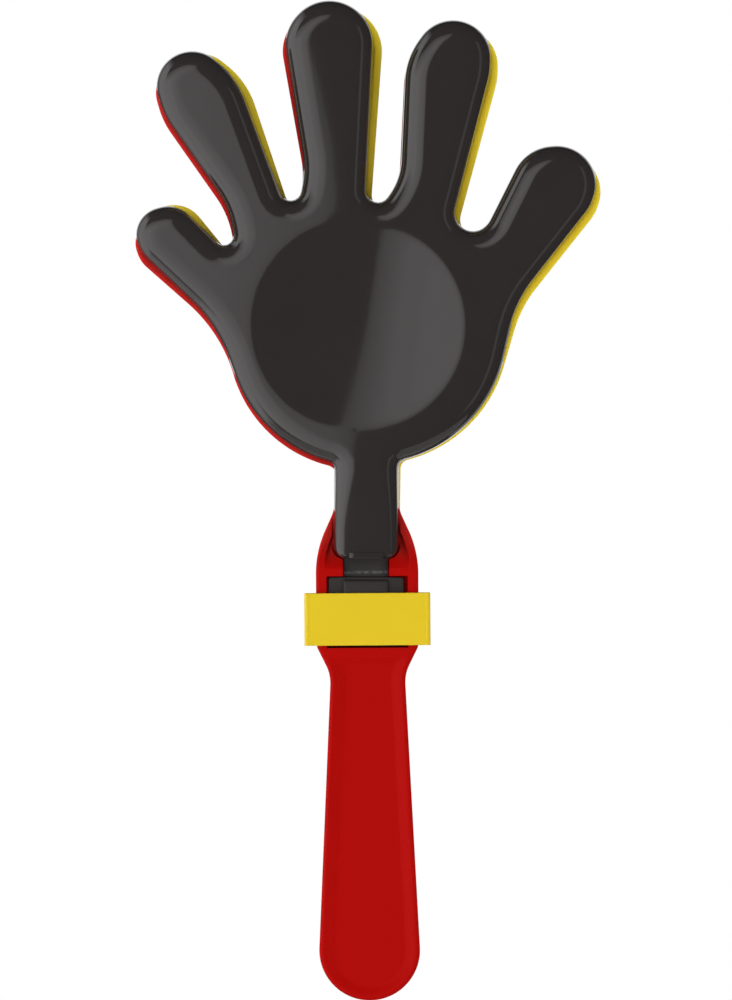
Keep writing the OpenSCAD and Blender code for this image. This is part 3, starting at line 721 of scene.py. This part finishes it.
# strip section across x: rounded edges; up z it's level and then eases down into the neck
def stripSkin(skin, z, height, halfWide, base, side, edge):
    along, up = quarter(5)
    x = halfWide - edge * along
    middle = np.linspace(-x[-1], x[-1], 9)[1:-1]
    xs = np.concatenate([[-halfWide], -x, middle, x[::-1], [halfWide]])
    shape = np.concatenate([[-9.0], up - 1, 0 * middle, (up - 1)[::-1], [-9.0]])
    ys = np.maximum(height[:, None] + edge * shape[None, :], base[:, None])
    skin.add(grid3(xs[None, :], side * ys, z[:, None]), wrapColumns=True)


# The first and last rows close the ends. The neck has a shallow groove where it folds.
def hingeFoot(name, neckName, material, neckMaterial, side, fit):
    skin = Skin()
    wings = [foot[key] for key in ("half", "low", "high", "corner", "edge", "base", "wing")]
    slab(skin, *wings, side)
    level = np.linspace(foot["stripLow"], foot["stripEnd"], 12)
    easing = np.linspace(foot["easeFrom"], foot["stripTop"], 8)
    z = np.concatenate([level[:1], level, easing, easing[-1:]])
    ease = smoothStep((z - foot["stripEnd"]) / foot["ease"])
    height = foot["strip"] + (foot["neckHigh"] - foot["strip"]) * ease
    height[0] = foot["base"]
    height[-1] = foot["base"]
    stripSkin(skin, z, height, foot["stripHalf"], 0 * z + foot["base"], side, foot["edge"])
    skin.points = [seated(p, fit) for p in skin.points]
    made = skin.piece(name, material, 42)
    neck = Skin()
    level = np.linspace(foot["neckFrom"], foot["neckEnd"], 32)
    z = np.concatenate([level[:1], level, level[-1:]])
    fold = np.exp(-(((z - foot["grooveAt"]) / foot["grooveWidth"]) ** 2))
    height = foot["neckHigh"] - foot["groove"] * fold
    height[0] = foot["neckLow"]
    height[-1] = foot["neckLow"]
    stripSkin(neck, z, height, foot["stripHalf"], 0 * z + foot["neckLow"], side, foot["neckEdge"])
    neck.points = [seated(p, fit) for p in neck.points]
    bend = neck.piece(neckName, neckMaterial, 50)
    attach(made, "handle")
    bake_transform(bend)
    return made, bend


frontFoot, frontNeck = hingeFoot(
    "frontFootSlab", "frontNeckStrip", blackHinge, blackHinge, -1, frontPlay
)
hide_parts("front_foot")
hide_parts("front_hinge")
backFoot, backNeck = hingeFoot(
    "backFootSlab", "backNeckStrip", yellowPlastic, yellowHinge, 1, backPlay
)
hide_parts("back_foot")
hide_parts("back_hinge")
print("hinge feet made")


# Studio: the camera looks straight on from well back, a big softbox stands left of it
studio = {
    "distance": 2.4, "frameHeight": 0.2808, "aim": 0.09126, "roll": 0.39, "sensor": 36.0,
    "cameraX": -0.17, "cameraBack": 3.0,
    "boxEdge": -0.065, "boxLean": 6.6, "boxSize": (3.0, 3.4), "boxMiddle": -0.5,
    "boxLight": 0.62, "softEdge": (0.025, 0.13), "softLight": 0.68, "softSteps": 4,
    "farEdges": ((0.25, 0.12), (0.5, 0.18), (0.9, 0.3)),
    "wallAt": -2.95, "wallFront": -2.45, "wallGloss": 0.078, "wallTurns": (66, 153), "wallSteps": 8,
    "lightGap": 0.004,  # boxes one behind the other have to stand a little apart
    "ambient": 0.28, "dark": 0.03, "backdropFrom": 0.965, "backdropEase": 50.0,
}


def areaLight(name, place, turn, size, radiance, diffuse=True, glossy=True):
    light = bpy.data.lights.new(name, "AREA")
    light.shape = "RECTANGLE"
    light.size, light.size_y = size
    light.energy = radiance * np.pi * size[0] * size[1]
    obj = bpy.data.objects.new(name, light)
    obj.location = place
    obj.rotation_euler = np.radians(turn)
    obj.visible_camera = False
    obj.visible_diffuse = diffuse
    obj.visible_glossy = glossy
    bpy.context.scene.collection.objects.link(obj)


# Softbox: dim at its right edge and brighter in steps to the left, as boxes one over the other
def softbox():
    lean = np.radians(studio["boxLean"])
    middle = studio["boxMiddle"]
    steps = studio["softSteps"]
    soft = [(edge, studio["softLight"] / steps) for edge in np.linspace(*studio["softEdge"], steps)]
    for k, (edge, light) in enumerate([(0, studio["boxLight"]), *soft, *studio["farEdges"]]):
        wide = studio["boxSize"][0] - edge
        x = studio["boxEdge"] - edge * np.cos(lean) + np.tan(lean) * middle - wide / 2 * np.cos(lean)
        z = middle + edge * np.sin(lean) + wide / 2 * np.sin(lean)
        size = (wide, studio["boxSize"][1] - 0.2 * k)
        place = (x, -studio["distance"] - studio["lightGap"] * k, z)
        areaLight("softbox%d" % k, place, (90, studio["boxLean"], 0), size, light)


# White wall on the left: it dims towards the back, where a shoulder mirrors more and more of it
# (Schlick's rule), so that the gloss stays even round the shoulder
def leftWall():
    turn = np.radians(np.linspace(*studio["wallTurns"], studio["wallSteps"]))
    reflectance = 0.04 + 0.96 * (1 - np.cos(turn / 2)) ** 5
    light = studio["wallGloss"] / reflectance
    steps = light - np.append(light[1:], 0)
    for k, (end, step) in enumerate(zip(studio["wallAt"] / np.tan(turn), steps)):
        size = (end - studio["wallFront"], 3.4 + 0.6 * k)
        place = (studio["wallAt"] - studio["lightGap"] * k, (end + studio["wallFront"]) / 2, 0.2)
        areaLight("leftWall%d" % k, place, (90, 0, -90), size, step, diffuse=False)


# place, turn, size, radiance, and whether it lights matt surfaces and shows in gloss
fills = {
    "leftFill": ((-2.6, -0.5, 0.3), (90, 0, -90), (1.5, 2.0), 6.0, True, False),
    "backFill": ((0.4, 2.6, 0.4), (90, 0, 180), (1.5, 2.0), 2.0, True, False),
    "rightBack": ((2.95, 10.5, 0.2), (90, 0, 90), (11.0, 8.0), 0.2, False, True),
    "rightFill": ((2.2, -1.6, 0.3), (90, 0, 54), (1.5, 2.0), 4.2, True, False),
    "rightStrip": ((1.6, -2.2, 0.1), (90, 0, 36), (0.55, 2.6), 0.45, True, True),
}

softbox()
leftWall()
for fillName, fill in fills.items():
    areaLight(fillName, *fill)

camera = bpy.data.objects.new("camera", bpy.data.cameras.new("camera"))
camera.data.sensor_fit = "VERTICAL"
camera.data.sensor_height = studio["sensor"]
camera.data.lens = studio["sensor"] * studio["distance"] / studio["frameHeight"]
camera.location = (studio["cameraX"] * mm, -studio["distance"] - studio["cameraBack"] * mm, studio["aim"])
camera.rotation_euler = np.radians((90, studio["roll"], 0))
bpy.context.scene.collection.objects.link(camera)
bpy.context.scene.camera = camera
bpy.context.scene.view_settings.view_transform = "Standard"


# white backdrop for the camera, and behind the object for reflections too; a dim even room otherwise
def studioWorld():
    world = bpy.data.worlds.new("studio")
    bpy.context.scene.world = world
    world.use_nodes = True
    tree = world.node_tree
    path = tree.nodes.new("ShaderNodeLightPath")
    isCamera = Val(tree, path.outputs["Is Camera Ray"])
    isGlossy = Val(tree, path.outputs["Is Glossy Ray"])
    isThrough = Val(tree, path.outputs["Is Transmission Ray"])
    way = addNode(tree, "TexCoord", output="Generated")
    toBack = addNode(tree, "SeparateXYZ", None, {"Vector": way}, "Y")
    backdrop = ((toBack - studio["backdropFrom"]) * studio["backdropEase"]).clamped()
    mirror = isGlossy.math("MAXIMUM", isThrough)
    seen = isCamera + (1.0 - isCamera) * mirror * (backdrop + (1.0 - backdrop) * studio["dark"])
    rest = (1.0 - isCamera) * (1.0 - mirror) * studio["ambient"]
    background = tree.nodes["Background"]
    background.inputs["Color"].default_value = (1, 1, 1, 1)
    setInput(tree, background.inputs["Strength"], seen + rest)


# round pale floor, well below the picture
floor = {
    "radius": 600.0, "level": -400.0, "low": (0.86, 0.86, 0.86), "high": (0.9, 0.9, 0.9),
    "roughness": 0.9, "gloss": 0.1,
}


def floorDisc():
    material = bpy.data.materials.new("paleFloor")
    material.use_nodes = True
    tree = material.node_tree
    surface = tree.nodes["Principled BSDF"]
    coords = addNode(tree, "TexCoord", output="Object")
    tone = mixColour(tree, noise(tree, coords, 3.0), shaded(floor["low"], 1), shaded(floor["high"], 1))
    setInput(tree, surface.inputs["Base Color"], tone)
    surface.inputs["Roughness"].default_value = floor["roughness"]
    surface.inputs["Specular IOR Level"].default_value = floor["gloss"]
    angle = np.linspace(0, 2 * np.pi, 97)[:-1]
    radius = np.linspace(0, floor["radius"], 6)[:, None]
    skin = Skin()
    skin.add(grid3(radius * np.cos(angle), radius * np.sin(angle), floor["level"]), wrapColumns=True)
    skin.piece("studioFloor", material)


studioWorld()
floorDisc()
print("studio set")
